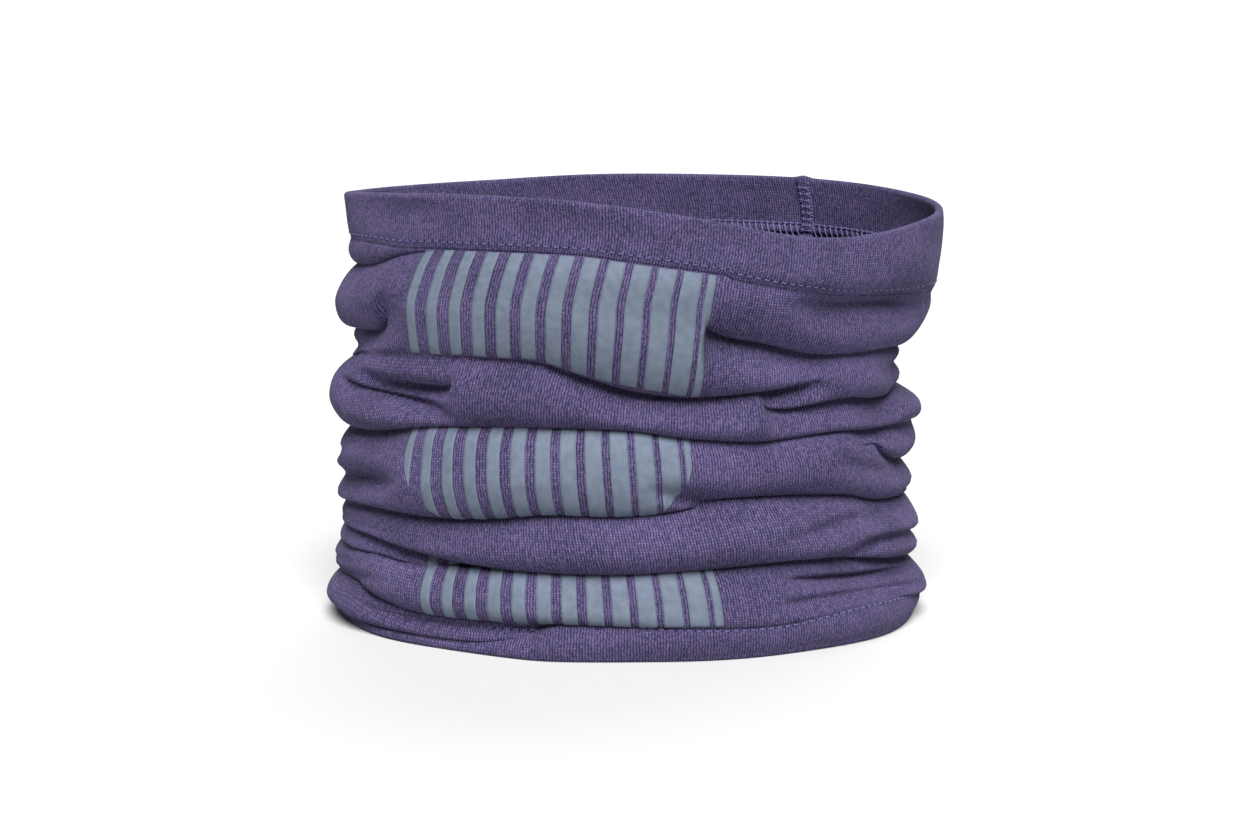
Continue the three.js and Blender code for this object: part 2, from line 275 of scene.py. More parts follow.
@dataclass
class Drape:
    """The shape that the cloth has been pushed into.

    Attributes:
        half_width: semi-axis of the oval under the creases, left to right, in mm.
        half_depth: semi-axis of that oval, front to back, in mm.
        seam_degrees: where the back seam lies, before the twist.
        crest: level and how far out of the oval the cloth lies between tucks, in mm.
        lean: level and how far the gaiter leans to the right, in mm.
        twist: level and how many degrees the cloth has turned.
        rim: degrees and height of the rim, in mm.
        rim_bump: the seam's bump on the rim: its height in mm, and its reach in degrees.
        arc_outset: from the oval to the one that lengths round the gaiter are measured on, in mm.
        push: how hard the gaiter is pushed down: it multiplies the tucks' depths.
        softness: how gently its cloth bends: it multiplies their reaches.
        rounding: the softness of a tuck's bottom, in mm.
        sharpness: how far the deepest tuck near a place wins over the others.
        margin: how far round a branch its mark is worked out, in mm.
        waviness: the unevenness of the cloth between tucks, in mm.
        wave_count: how many random waves that is made of.
        seed: what they are drawn from.
    """

    half_width: float
    half_depth: float
    seam_degrees: float = 140.7
    crest: Points = (
        (0, 6.4), (4, 9.3), (20, 9.4), (38, 9.2), (56, 8), (74, 8.4), (92, 7.4), (104, 7.9), (112, 7.4),
        (121, 5.6), (139, 6.2),
    )
    lean: Points = ((0, -1), (30, -1.4), (80, -1), (98, -0.2), (112, 3.2), (121, 4.8), (139, 3))
    twist: Points = (
        (0, 5), (12, 5), (28, 3.8), (45, 1), (58, 0), (70, -0.4), (86, 1.2), (96, 1.7), (105, 1.0),
        (118, 1.0), (139, 1.9),
    )
    rim: Points = (
        (-170, 137.2), (-142, 135.3), (-100, 133.4), (-68, 133.8), (-38, 134.2), (-16, 133.0), (0, 130.2),
        (16, 126.0), (30, 122.4), (42, 121.9), (60, 124.4), (84, 128.7), (110, 132.4), (140, 136.0),
        (165, 137.2),
    )
    rim_bump: tuple[float, float] = (0.8, 1.6)
    arc_outset: float = 7.0
    push: float = 1.5
    softness: float = 1.1
    rounding: float = 0.6
    sharpness: float = 4.0
    margin: float = 14.0
    waviness: float = 1.0
    wave_count: int = 26
    seed: int = 11
    waves: list[tuple[float, ...]] = field(default_factory=list)
    traces: list[np.ndarray] = field(default_factory=list)

    def __post_init__(self) -> None:
        """Draws the cloth's unevenness, measures its girth and samples the branches."""
        rng = np.random.default_rng(self.seed)
        for _ in range(self.wave_count):  # each runs 1 to 11 times round, and is 16 to 60 mm long upwards
            round_count = int(rng.integers(1, 12))
            wavelength = rng.uniform(16, 60)
            size = rng.uniform(0.4, 1.0) / math.sqrt(1 + round_count / 3)
            self.waves.append((round_count, 2 * math.pi / wavelength, rng.uniform(0, 2 * math.pi), size))
        self.arc_degrees = np.arange(0, 360.25, 0.25)
        steps = np.radians(self.arc_degrees)
        wide, deep = self.half_width + self.arc_outset, self.half_depth + self.arc_outset
        speed = np.hypot(wide * np.cos(steps), deep * np.sin(steps))
        self.arcs = np.concatenate([[0], np.cumsum((speed[1:] + speed[:-1]) / 2 * np.diff(steps))])
        self.girth = float(self.arcs[-1])
        for tuck in BRANCHES:
            points = np.array(tuck.points, float)
            points[:, 0] = self.arc_at(np.degrees(np.unwrap(np.radians(points[:, 0]))))
            self.traces.append(smooth_path(points, 8))

    def arc_at(self, degrees: np.ndarray) -> np.ndarray:
        """The length round the gaiter, in mm, at angles that may pass a full turn."""
        turns = np.floor(np.asarray(degrees, float) / 360)
        return turns * self.girth + np.interp(degrees - 360 * turns, self.arc_degrees, self.arcs)

    def degrees_at(self, arc: np.ndarray) -> np.ndarray:
        """The angle at a length round the gaiter."""
        turns = np.floor(arc / self.girth)
        return 360 * turns + np.interp(arc - turns * self.girth, self.arcs, self.arc_degrees)

    def rim_level(self, degrees: np.ndarray) -> np.ndarray:
        """Height of the rim, with the small bump that the seam makes."""
        height, reach = self.rim_bump
        off = (degrees - self.seam_degrees - self.twist[-1][1] + 180) % 360 - 180
        return around(self.rim, degrees)[..., 0] + height * np.exp(-((off / reach) ** 2))

    def line_level(self, ring: Tuck, column_degrees: np.ndarray) -> np.ndarray:
        """Finds the level at which columns of cloth cross a ring, whatever the twist there.

        Args:
            ring: the tuck that runs all the way round.
            column_degrees: the columns' angles, before the twist.

        Returns:
            Their levels.
        """
        level = np.full(np.shape(column_degrees), np.mean([p[1] for p in ring.points]))
        for _ in range(4):  # each turn of the loop comes closer to the crossing
            level = around(ring.points, column_degrees + self.twist_at(level))[..., 0]
        return level

    def twist_at(self, level: np.ndarray) -> np.ndarray:
        """Degrees that the cloth has turned at a level."""
        return along(self.twist, level)

    def branch_offsets(
        self, trace: np.ndarray, arc: np.ndarray, level: np.ndarray
    ) -> tuple[np.ndarray, np.ndarray]:
        """Measures cloth against one branch.

        Args:
            trace: samples of arc, level and depth along the branch.
            arc: lengths round the gaiter.
            level: levels of the same places.

        Returns:
            The distance above the branch (negative below it), and its depth at the nearest spot.
        """
        near, middle = self.off_middle(trace, arc)
        place = np.stack([near + middle, level], axis=-1)[:, None, :]
        start, step = trace[None, :-1, :2], np.diff(trace[None, :, :2], axis=1)
        share = np.clip(((place - start) * step).sum(-1) / (step**2).sum(-1), 0, 1)
        gap = place - start - share[..., None] * step
        distance = np.hypot(gap[..., 0], gap[..., 1])
        best = distance.argmin(axis=1)
        rows = np.arange(len(best))
        depth = trace[best, 2] + share[rows, best] * (trace[best + 1, 2] - trace[best, 2])
        side = step[0, best, 0] * gap[rows, best, 1] - step[0, best, 1] * gap[rows, best, 0]
        return np.sign(side) * distance[rows, best], depth

    def off_middle(self, trace: np.ndarray, arc: np.ndarray) -> tuple[np.ndarray, float]:
        """How far round the gaiter places lie from a branch's middle, the short way, and where that is."""
        middle = (trace[0, 0] + trace[-1, 0]) / 2
        return (arc - middle + self.girth / 2) % self.girth - self.girth / 2, middle

    def tucked(self, degrees: np.ndarray, level: np.ndarray) -> tuple[np.ndarray, np.ndarray]:
        """Adds up the tucks.

        Args:
            degrees: angles, in any array.
            level: levels of the same places.

        Returns:
            How far in the cloth lies there, and how far it sags, in mm.
        """
        flat_degrees, flat_level = degrees.ravel(), level.ravel()
        arc = self.arc_at(flat_degrees)
        inward = np.zeros_like(flat_level)
        sag = np.zeros_like(flat_level)

        def press(tuck: Tuck, chosen: np.ndarray | slice, above: np.ndarray, depth: np.ndarray) -> None:
            """Presses a tuck into chosen places, by their distances above it and its depths there."""
            depth = np.maximum(depth, 0) * self.push
            reach = np.where(above > 0, tuck.above, tuck.below) * self.softness
            away = np.sqrt(above**2 + self.rounding**2) - self.rounding
            inward[chosen] += (depth * np.exp(-away / reach)) ** self.sharpness
            t = np.clip(above, 0, None) / (tuck.above * 0.9)  # the cloth sags most where this is 1
            sag[chosen] = np.maximum(sag[chosen], tuck.lip * depth * t * np.exp(1 - t))

        for ring in RINGS:
            values = around(ring.points, flat_degrees)
            press(ring, slice(None), flat_level - values[:, 0], values[:, 1])
        for tuck, trace in zip(BRANCHES, self.traces):
            off = np.abs(self.off_middle(trace, arc)[0])
            chosen = np.flatnonzero(
                (off < abs(trace[-1, 0] - trace[0, 0]) / 2 + self.margin)
                & (flat_level > trace[:, 1].min() - 2 * self.margin)
                & (flat_level < trace[:, 1].max() + 2 * self.margin)
            )
            above, depth = self.branch_offsets(trace, arc[chosen], flat_level[chosen])
            press(tuck, chosen, above, depth)
        return inward.reshape(level.shape) ** (1 / self.sharpness), sag.reshape(level.shape)

    def uneven(self, degrees: np.ndarray, level: np.ndarray) -> np.ndarray:
        """The cloth's small unevenness, in mm."""
        angle = np.radians(degrees)
        total = np.zeros_like(level)
        for round_count, pitch, start, size in self.waves:
            total += size * np.cos(round_count * angle + pitch * level + start)
        return self.waviness * total / math.sqrt(len(self.waves) / 2)

    def place(self, column_degrees: np.ndarray, level: np.ndarray) -> np.ndarray:
        """Finds where the cloth's outer face lies.

        Args:
            column_degrees: the columns' angles, before the twist.
            level: levels in those columns.

        Returns:
            Points in mm, in a last axis of three.
        """
        degrees = column_degrees + self.twist_at(level)
        inward, sag = self.tucked(degrees, level)
        outset = along(self.crest, level) + self.uneven(degrees, level) - inward
        angle = np.radians(degrees)
        sine, cosine = np.sin(angle), np.cos(angle)
        normal_x, normal_y = sine / self.half_width, -cosine / self.half_depth
        size = np.hypot(normal_x, normal_y)
        return np.stack(
            [
                self.half_width * sine + outset * normal_x / size + along(self.lean, level),
                -self.half_depth * cosine + outset * normal_y / size,
                level - sag,
            ],
            axis=-1,
        )


class Side(Enum):
    """The gaiter's two ends, each with the way from the tube to it."""

    TOP = 1
    BOTTOM = -1

    @property
    def up(self) -> int:
        """1 where the end is above the tube, -1 below."""
        return self.value


@dataclass
class Cloth:
    """The whole panel's outer face as a net of places, with rows that follow the rings.

    Attributes:
        drape: the shape it lies in.
        columns: steps round the gaiter, starting at the back seam.
        rows_between: rows from each ring line to the next, from the lower edge to the rim.
        samples: places at which a column is measured between two lines.
        fold_radius: of the hems' turned edges, in mm.
        thickness: the jersey's, in mm.
        turned: how far each hem is turned in, in mm.
    """

    drape: Drape
    columns: int = 320
    rows_between: tuple[int, ...] = (16, 24, 24, 32, 30, 42, 20)
    samples: int = 161
    fold_radius: float = 1.3
    thickness: float = 0.9
    turned: dict[Side, float] = field(default_factory=lambda: {Side.TOP: 17.0, Side.BOTTOM: 13.0})

    def __post_init__(self) -> None:
        """Lays the net."""
        shares = np.arange(self.columns) / self.columns
        start = float(self.drape.arc_at(np.array(self.drape.seam_degrees)))
        self.column_degrees = self.drape.degrees_at(start + shares * self.drape.girth)
        lines = [np.full(self.columns, self.fold_radius)]
        lines += [self.drape.line_level(ring, self.column_degrees) for ring in RINGS]
        rim_degrees = self.column_degrees + self.drape.twist[-1][1]
        lines.append(self.drape.rim_level(rim_degrees) - self.fold_radius)
        levels = [self.between(*step) for step in zip(lines, lines[1:], self.rows_between)]
        self.levels = np.concatenate([levels[0][:, :1]] + [part[:, 1:] for part in levels], axis=1)
        wide = np.broadcast_to(self.column_degrees[:, None], self.levels.shape)
        self.points = self.drape.place(wide, self.levels)
        self.normals = self.facing()
        steps = np.linalg.norm(np.diff(self.points, axis=1), axis=-1).mean(axis=0)
        self.row_lengths = np.concatenate([[0], np.cumsum(steps)])
        self.line_rows = np.concatenate([[0], np.cumsum(self.rows_between)])

    def between(self, low: np.ndarray, high: np.ndarray, rows: int) -> np.ndarray:
        """Spaces rows evenly over the cloth between two lines.

        Args:
            low: each column's level at the lower line.
            high: and at the upper one.
            rows: how many steps to take.

        Returns:
            The rows' levels in each column.
        """
        shares = np.linspace(0, 1, self.samples)
        levels = low[:, None] + (high - low)[:, None] * shares
        wide = np.broadcast_to(self.column_degrees[:, None], levels.shape)
        points = self.drape.place(wide, levels)
        lengths = np.linalg.norm(np.diff(points, axis=1), axis=-1)
        totals = np.concatenate([np.zeros((len(low), 1)), np.cumsum(lengths, axis=1)], axis=1)
        wanted = np.linspace(0, 1, rows + 1)
        return np.stack([np.interp(wanted * t[-1], t, l) for t, l in zip(totals, levels)])

    def facing(self) -> np.ndarray:
        """The outward normal at every place of the net."""
        across = np.roll(self.points, -1, axis=0) - np.roll(self.points, 1, axis=0)
        up = np.gradient(self.points, axis=1)
        normals = np.cross(across, up)
        return normals / np.linalg.norm(normals, axis=-1, keepdims=True)

    def at(self, column: np.ndarray, row: np.ndarray, lift: np.ndarray | float = 0.0) -> np.ndarray:
        """Reads places between the net's own.

        Args:
            column: positions round the net, in steps.
            row: positions up the net, in rows.
            lift: height off the cloth, in mm.

        Returns:
            Points in mm.
        """
        c0 = np.floor(column).astype(int)
        r0 = np.clip(np.floor(row).astype(int), 0, self.points.shape[1] - 2)
        c, r = (column - c0)[..., None], (row - r0)[..., None]
        result = 0.0
        for dc, wc in ((0, 1 - c), (1, c)):
            for dr, wr in ((0, 1 - r), (1, r)):
                spot = ((c0 + dc) % self.columns, r0 + dr)
                height = np.broadcast_to(lift, np.shape(column))[..., None]
                result = result + wc * wr * (self.points[spot] + height * self.normals[spot])
        return result

    def column_of(self, degrees: np.ndarray) -> np.ndarray:
        """The net's column, in steps, whose angle before the twist is this."""
        start = float(self.drape.arc_at(np.array(self.drape.seam_degrees)))
        return (self.drape.arc_at(degrees) - start) / self.drape.girth * self.columns % self.columns

    def row_at_level(self, column: np.ndarray, level: np.ndarray) -> np.ndarray:
        """Finds the rows, in steps, at which columns reach levels.

        Args:
            column: positions round the net, in steps.
            level: the levels.

        Returns:
            Positions up the net.
        """
        c0 = np.floor(column).astype(int) % self.columns
        c1 = (c0 + 1) % self.columns
        share = (column - np.floor(column))[..., None]
        ladder = (1 - share) * self.levels[c0] + share * self.levels[c1]
        rows = np.arange(self.levels.shape[1])
        ladders = ladder.reshape(-1, len(rows))
        flat = [np.interp(wanted, rungs, rows) for wanted, rungs in zip(np.ravel(level), ladders)]
        return np.reshape(flat, np.shape(level))

    def edge_rows(self, side: Side) -> tuple[int, int]:
        """The rows at an end's fold, and at its hem's line of stitching."""
        if side is Side.TOP:
            return int(self.line_rows[-1]), int(self.line_rows[-2])
        return 0, int(self.line_rows[1])

    def outward(self, column: np.ndarray, side: Side) -> np.ndarray:
        """The level direction out of the gaiter at an end's fold."""
        normals = self.normals[:, self.edge_rows(side)[0]]
        c0 = np.floor(column).astype(int)
        share = (column - c0)[..., None]
        out = (1 - share) * normals[c0 % self.columns] + share * normals[(c0 + 1) % self.columns]
        out[..., 2] = 0
        return out / np.linalg.norm(out, axis=-1, keepdims=True)

    def level_at_edge(self, column: np.ndarray, side: Side) -> np.ndarray:
        """The level at which an end's fold starts."""
        return self.levels[np.rint(column).astype(int) % self.columns, self.edge_rows(side)[0]]

    def turned_in(
        self, column: np.ndarray, down: np.ndarray, side: Side, lift: np.ndarray | float = 0.0
    ) -> np.ndarray:
        """Finds places on a hem's inner layer.

        Args:
            column: positions round the net, in steps.
            down: how far they lie from the fold, in mm.
            side: which hem it is.
            lift: height off the cloth, towards the neck, in mm.

        Returns:
            Points in mm.
        """
        level = self.level_at_edge(column, side) - side.up * down
        points = self.at(column, self.row_at_level(column, level))
        inset = np.broadcast_to(2 * self.fold_radius + lift, np.shape(column))[..., None]
        points = points - inset * self.outward(column, side)
        edge = self.at(column, np.full(np.shape(column), self.edge_rows(side)[0]))
        points[..., 2] = edge[..., 2] - side.up * down
        return points

    def lining(self, column: np.ndarray, row: np.ndarray, lift: np.ndarray | float) -> np.ndarray:
        """Finds places on the gaiter's inside: the hems' inner layers, and the tube's back between them.

        Args:
            column: positions round the net, in steps.
            row: positions up the net, in rows.
            lift: height off the cloth, towards the neck, in mm.

        Returns:
            Points in mm.
        """
        points = self.at(column, row, -self.thickness - lift)
        level = self.level_at(column, row)
        for side in Side:
            down = side.up * (self.level_at_edge(column, side) - level)
            share = np.clip(self.turned[side] + 1 - down, 0, 1)[..., None]
            on_hem = self.turned_in(column, np.clip(down, 0, None), side, lift)
            points = share * on_hem + (1 - share) * points
        return points

    def level_at(self, column: np.ndarray, row: np.ndarray) -> np.ndarray:
        """The level at places between the net's own, by the nearest column."""
        ladder = self.levels[np.rint(column).astype(int) % self.columns]
        r0 = np.clip(np.floor(row).astype(int), 0, ladder.shape[1] - 2)
        spots = np.arange(len(ladder))
        share = row - r0
        return (1 - share) * ladder[spots, r0] + share * ladder[spots, r0 + 1]

    def row_of_length(self, length: np.ndarray | float) -> np.ndarray:
        """The row at a length up the cloth, in mm."""
        return np.interp(length, self.row_lengths, np.arange(len(self.row_lengths)))

    def flat(self, column: np.ndarray, length: np.ndarray) -> np.ndarray:
        """Places on the flat cloth, in mm, for steps round and mm along it."""
        wide = np.broadcast_to(column / self.columns * self.drape.girth, np.shape(length))
        return np.stack([wide, length], axis=-1)


# ---------------------------------------------------------------- finishes


def linear(colour: str) -> tuple[float, float, float, float]:
    """Turns an sRGB hex colour to linear light."""
    channels = [int(colour[i : i + 2], 16) / 255 for i in (1, 3, 5)]
    turned = [c / 12.92 if c <= 0.04045 else ((c + 0.055) / 1.055) ** 2.4 for c in channels]
    return (*turned, 1.0)


def add(
    tree: bpy.types.NodeTree,
    kind: str,
    *values: object,
    named: dict[str | int, object] | None = None,
    output: str | int = 0,
    **settings: object,
) -> bpy.types.NodeSocket:
    """Adds one node to a tree.

    Args:
        tree: the tree it goes in.
        kind: the node's type, without "ShaderNode".
        values: its first inputs in order, each a value or the output linked to it.
        named: further inputs, by name or place.
        output: which of its outputs is wanted.
        settings: its other properties.

    Returns:
        That output.
    """
    node = tree.nodes.new("ShaderNode" + kind)
    for name, value in settings.items():
        setattr(node, name, value)
    for key, value in [*enumerate(values), *(named or {}).items()]:
        if isinstance(value, bpy.types.NodeSocket):
            tree.links.new(value, node.inputs[key])
        else:
            node.inputs[key].default_value = value
    return node.outputs[output]


class Finish:
    """A material under construction: its tree, its shader and short ways to add to them."""

    def __init__(self, name: str, **values: object) -> None:
        """Starts the material, with its shader's uniform values by socket name, _ for each space."""
        self.material = bpy.data.materials.new(name)
        self.material.use_nodes = True
        self.tree = self.material.node_tree
        self.shader = self.tree.nodes["Principled BSDF"]
        for name, value in values.items():
            self.shader.inputs[name.replace("_", " ")].default_value = value

    def add(self, kind: str, *values: object, **options: object) -> bpy.types.NodeSocket:
        """Adds a node to the material's tree."""
        return add(self.tree, kind, *values, **options)

    def hump(self, value: object, middle: float, reach: float) -> bpy.types.NodeSocket:
        """Makes a rounded hump of a value: 1 at the middle, 0 from the reach on, either side."""
        off = self.add("Math", value, 1 / reach, -middle / reach, operation="MULTIPLY_ADD")
        squared = self.add("Math", off, off, operation="MULTIPLY")
        return self.add("Math", 1.0, squared, operation="SUBTRACT", use_clamp=True)

    def graded(
        self, share: bpy.types.NodeSocket, low: float, high: float, first: object, second: object
    ) -> bpy.types.NodeSocket:
        """Turns from one colour to another as a share goes from low to high."""
        turn = self.add("MapRange", share, low, high)
        return self.add("Mix", turn, named={6: first, 7: second}, output=2, data_type="RGBA")

    def close(
        self, colour: bpy.types.NodeSocket, height: bpy.types.NodeSocket, relief: float
    ) -> bpy.types.Material:
        """Joins colour and relief to the shader.

        Args:
            colour: the surface's colour.
            height: its relief, from 0 to 1.
            relief: how deep that is, in mm.

        Returns:
            The material.
        """
        bump = self.add("Bump", named={"Height": height, "Strength": 1.0, "Distance": relief * MM})
        self.tree.links.new(colour, self.shader.inputs["Base Color"])
        self.tree.links.new(bump, self.shader.inputs["Normal"])
        return self.material


@dataclass(frozen=True)
class MerinoJersey:
    """Fine merino jersey: matt, heathered yarn with a short soft fuzz that catches light at grazing angles.

    Attributes:
        needle_rows: where the hems' needle rows cross the cloth, in mm up it.
        stitch: how far apart the needle's holes are, in mm.
        hole: a hole's reach: along the row as a share of a stitch, and up the cloth in mm.
        yarn: the yarn's main colour.
        warm: the redder fibres spun into it.
        cool: the bluer ones.
        shade: the painted shade in the gaps between loops.
        fuzz: the colour of the fibres that stand off the cloth.
        rib: spacing of the ribs, in mm.
        course: spacing of the rows of loops, in mm.
        slant: how many rows a loop's legs rise from the middle of its rib to the edge.
        wander: how far the ribs and rows stray from straight, in ribs and rows.
        stray: the length over which they do, in mm.
        fibre: width and length of a tuft of like fibres, in mm.
        patch: size of the broad patches of slightly darker and lighter cloth, in mm.
        relief: depth of the knit, in mm.
    """

    needle_rows: tuple[float, ...]
    stitch: float
    hole: tuple[float, float] = (0.2, 0.55)
    yarn: str = "#595177"
    warm: str = "#62557a"
    cool: str = "#514b75"
    shade: str = "#110e22"
    fuzz: str = "#a79bc0"
    rib: float = 0.88
    course: float = 0.72
    slant: float = 1.1
    wander: float = 0.9
    stray: float = 3.846
    fibre: tuple[float, float] = (0.4545, 0.9091)
    patch: float = 22.22
    relief: float = 0.2

    def make(self) -> bpy.types.Material:
        """Builds the material."""
        knit = Finish(
            "merino_jersey",
            Roughness=0.92,
            Specular_IOR_Level=0.15,
            Sheen_Weight=0.1,
            Sheen_Roughness=0.5,
            Sheen_Tint=linear(self.fuzz),
        )
        uv = knit.add("UVMap", uv_map=CLOTH_MAP)
        wide = knit.add("SeparateXYZ", uv)
        long = wide.node.outputs["Y"]
        noise = knit.add("TexNoise", named={"Vector": uv, "Scale": 1 / (self.stray * MM), "Detail": 1.0})
        stray = knit.add("Math", noise, self.wander, -self.wander / 2, operation="MULTIPLY_ADD")

        # the knit: ribs, each crossed by loops whose two legs slant down from its middle
        across = knit.add("Math", wide, 1 / (self.rib * MM), stray, operation="MULTIPLY_ADD")
        up = knit.add("Math", long, 1 / (self.course * MM), stray, operation="MULTIPLY_ADD")
        shifted = knit.add("Math", across, 0.5, operation="ADD")
        side = knit.add("Math", shifted, 0.5, operation="PINGPONG")
        slanted = knit.add("Math", side, -self.slant, up, operation="MULTIPLY_ADD")
        loop = knit.hump(knit.add("Math", slanted, operation="FRACT"), 0.5, 0.5)
        raised = knit.add("Math", loop, 0.65, 0.35, operation="MULTIPLY_ADD")
        raised = knit.add("Math", raised, knit.hump(side, 0.0, 0.5), operation="MULTIPLY")
        height = knit.add("Math", raised, self.between_holes(knit, wide, long), operation="MULTIPLY")

        # the yarn: every leg of a loop has its own tone, and so have the tufts of fibre along it
        leg = knit.add("Math", knit.add("Math", across, 2.0, operation="MULTIPLY"), operation="FLOOR")
        cell = knit.add("CombineXYZ", leg, knit.add("Math", slanted, operation="FLOOR"))
        loop_tone = knit.add("TexWhiteNoise", cell, noise_dimensions="2D")
        tuft_scale = (1 / (self.fibre[0] * MM), 1 / (self.fibre[1] * MM), 1)
        tufts = knit.add("Mapping", named={"Vector": uv, "Scale": tuft_scale})
        heather = knit.add("TexNoise", named={"Vector": tufts, "Scale": 1.0, "Detail": 2.0})
        tone = knit.add("Math", heather, 0.55, operation="MULTIPLY")
        tone = knit.add("Math", loop_tone, 0.45, tone, operation="MULTIPLY_ADD")
        spun = knit.graded(tone, 0.25, 0.5, linear(self.cool), linear(self.yarn))
        spun = knit.graded(tone, 0.5, 0.75, spun, linear(self.warm))

        # the light: painted shade between loops, and broad patches of slightly fuller and thinner cloth
        lit = knit.add("Math", height, 0.8, operation="POWER")
        # the colour goes to the shade colour where the knit is low: painted shade in its gaps and in the
        # needle holes
        grooved = knit.graded(lit, 0.0, 1.0, linear(self.shade), spun)
        patches = knit.add("TexNoise", named={"Vector": uv, "Scale": 1 / (self.patch * MM), "Detail": 2.0})
        uneven = knit.add("Math", loop_tone, 0.8, patches, operation="MULTIPLY_ADD")
        strength = knit.add("MapRange", uneven, 0.4, 1.4, 0.56, 1.4)
        colour = knit.add("HueSaturation", named={"Color": grooved, "Value": strength})
        return knit.close(colour, height, self.relief)

    def between_holes(
        self, knit: Finish, wide: bpy.types.NodeSocket, long: bpy.types.NodeSocket
    ) -> bpy.types.NodeSocket:
        """Finds the holes between a needle row's stitches: dents in the knit's relief, painted dark with the
        shade colour.

        Args:
            knit: the material under construction.
            wide: metres across the flat cloth.
            long: metres up it.

        Returns:
            1 on the cloth, and near 0 in a hole.
        """
        stitches = knit.add("Math", wide, self.stitch * MM, operation="DIVIDE")
        apart = knit.hump(knit.add("Math", stitches, operation="FRACT"), 0.5, self.hole[0])
        clear = 1.0
        for row in self.needle_rows:
            near = knit.hump(long, row * MM, self.hole[1] * MM)
            hole = knit.add("Math", near, apart, operation="MULTIPLY")
            # a hole lowers the knit's height, which dents its bump and paints it with the shade colour:
            # painted shade
            clear = knit.add("Math", hole, -0.9, clear, operation="MULTIPLY_ADD")
        return clear


@dataclass(frozen=True)
class TransferFilm:
    """Heat-transfer film: a thin matt polyurethane skin with the knit's ribs showing faintly through.

    Attributes:
        light: its colour.
        dark: its colour where it has sunk into the cloth.
        rib: spacing of the ribs under it, in mm.
        mottle: size of its unevenness, in mm.
        relief: depth of that, in mm.
    """

    light: str = "#616a79"
    dark: str = "#545d6d"
    rib: float = 0.88
    mottle: float = 2.632
    relief: float = 0.04

    def make(self) -> bpy.types.Material:
        """Builds the material."""
        film = Finish("transfer_film", Roughness=0.65, Specular_IOR_Level=0.22)
        uv = film.add("UVMap", uv_map=CLOTH_MAP)
        mottle = film.add("TexNoise", named={"Vector": uv, "Scale": 1 / (self.mottle * MM), "Detail": 4.0})
        colour = film.graded(mottle, 0.3, 0.7, linear(self.dark), linear(self.light))
        turn = 2 * math.pi / (self.rib * MM)
        wide = film.add("Math", film.add("SeparateXYZ", uv), turn, operation="MULTIPLY")
        ribs = film.add("Math", wide, operation="COSINE")
        height = film.add("Math", ribs, 0.25, mottle, operation="MULTIPLY_ADD")
        return film.close(colour, height, self.relief)


@dataclass(frozen=True)
class SewingThread:
    """Spun polyester sewing thread: smoother and bluer than the wool, with a faint gloss along its twist.

    Attributes:
        light: its colour.
        dark: the painted shade between the plies, where their relief is low.
        ply: size of a ply's twist, in mm.
        relief: depth of that, in mm.
    """

    light: str = "#5c5585"
    dark: str = "#3f396d"
    ply: float = 0.3846
    relief: float = 0.05

    def make(self) -> bpy.types.Material:
        """Builds the material."""
        thread = Finish("sewing_thread", Roughness=0.5, Sheen_Weight=0.15)
        place = thread.add("TexCoord", output="Object")
        plies = thread.add("TexNoise", named={"Vector": place, "Scale": 1 / (self.ply * MM), "Detail": 2.0})
        # darker where the plies' relief is low: painted shade between the plies
        colour = thread.graded(plies, 0.35, 0.65, linear(self.dark), linear(self.light))
        return thread.close(colour, plies, self.relief)


@dataclass(frozen=True)
class BackdropPaper:
    """Seamless studio paper: quite matt and pale, so the floor and the background run together."""

    colour: str = "#c2c2c2"

    def make(self) -> bpy.types.Material:
        """Builds the material."""
        values = {"Base_Color": linear(self.colour), "Roughness": 1.0, "Specular_IOR_Level": 0.0}
        return Finish("backdrop_paper", **values).material


class Slot(Enum):
    """The record's material slots."""

    KNIT = "knit_fabric"
    THREAD = "sewing_thread"
    FILM = "print_film"


@dataclass
class Finishes:
    """The three materials, by slot.

    Attributes:
        needle_rows: where the hems' needle rows cross the cloth, in mm up it.
        stitch: length of their stitches, in mm.
    """

    needle_rows: tuple[float, ...]
    stitch: float
    made: dict[Slot, bpy.types.Material] = field(default_factory=dict)

    def __post_init__(self) -> None:
        """Makes them."""
        self.made = {
            Slot.KNIT: MerinoJersey(self.needle_rows, self.stitch).make(),
            Slot.THREAD: SewingThread().make(),
            Slot.FILM: TransferFilm().make(),
        }

    def dress(self, piece: bpy.types.Object, slot: Slot, *nodes: str) -> None:
        """Gives a piece its slot's material, puts it in its body and hides the CAD nodes that it stands for.

        Args:
            piece: the piece.
            slot: the slot that its finish comes from.
            nodes: the CAD nodes.
        """
        piece.data.materials.append(self.made[slot])
        if piece.type == "MESH":
            piece.data.polygons.foreach_set("use_smooth", [True] * len(piece.data.polygons))
        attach(piece, BODY)
        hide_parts(*nodes)
        LOG.info("%s replaces %s", piece.name, ", ".join(nodes))


# ---------------------------------------------------------------- making pieces


def into_scene(name: str, data: bpy.types.ID) -> bpy.types.Object:
    """Puts a mesh or a curve into the scene, unmoved."""
    piece = bpy.data.objects.new(name, data)
    bpy.context.scene.collection.objects.link(piece)
    return piece


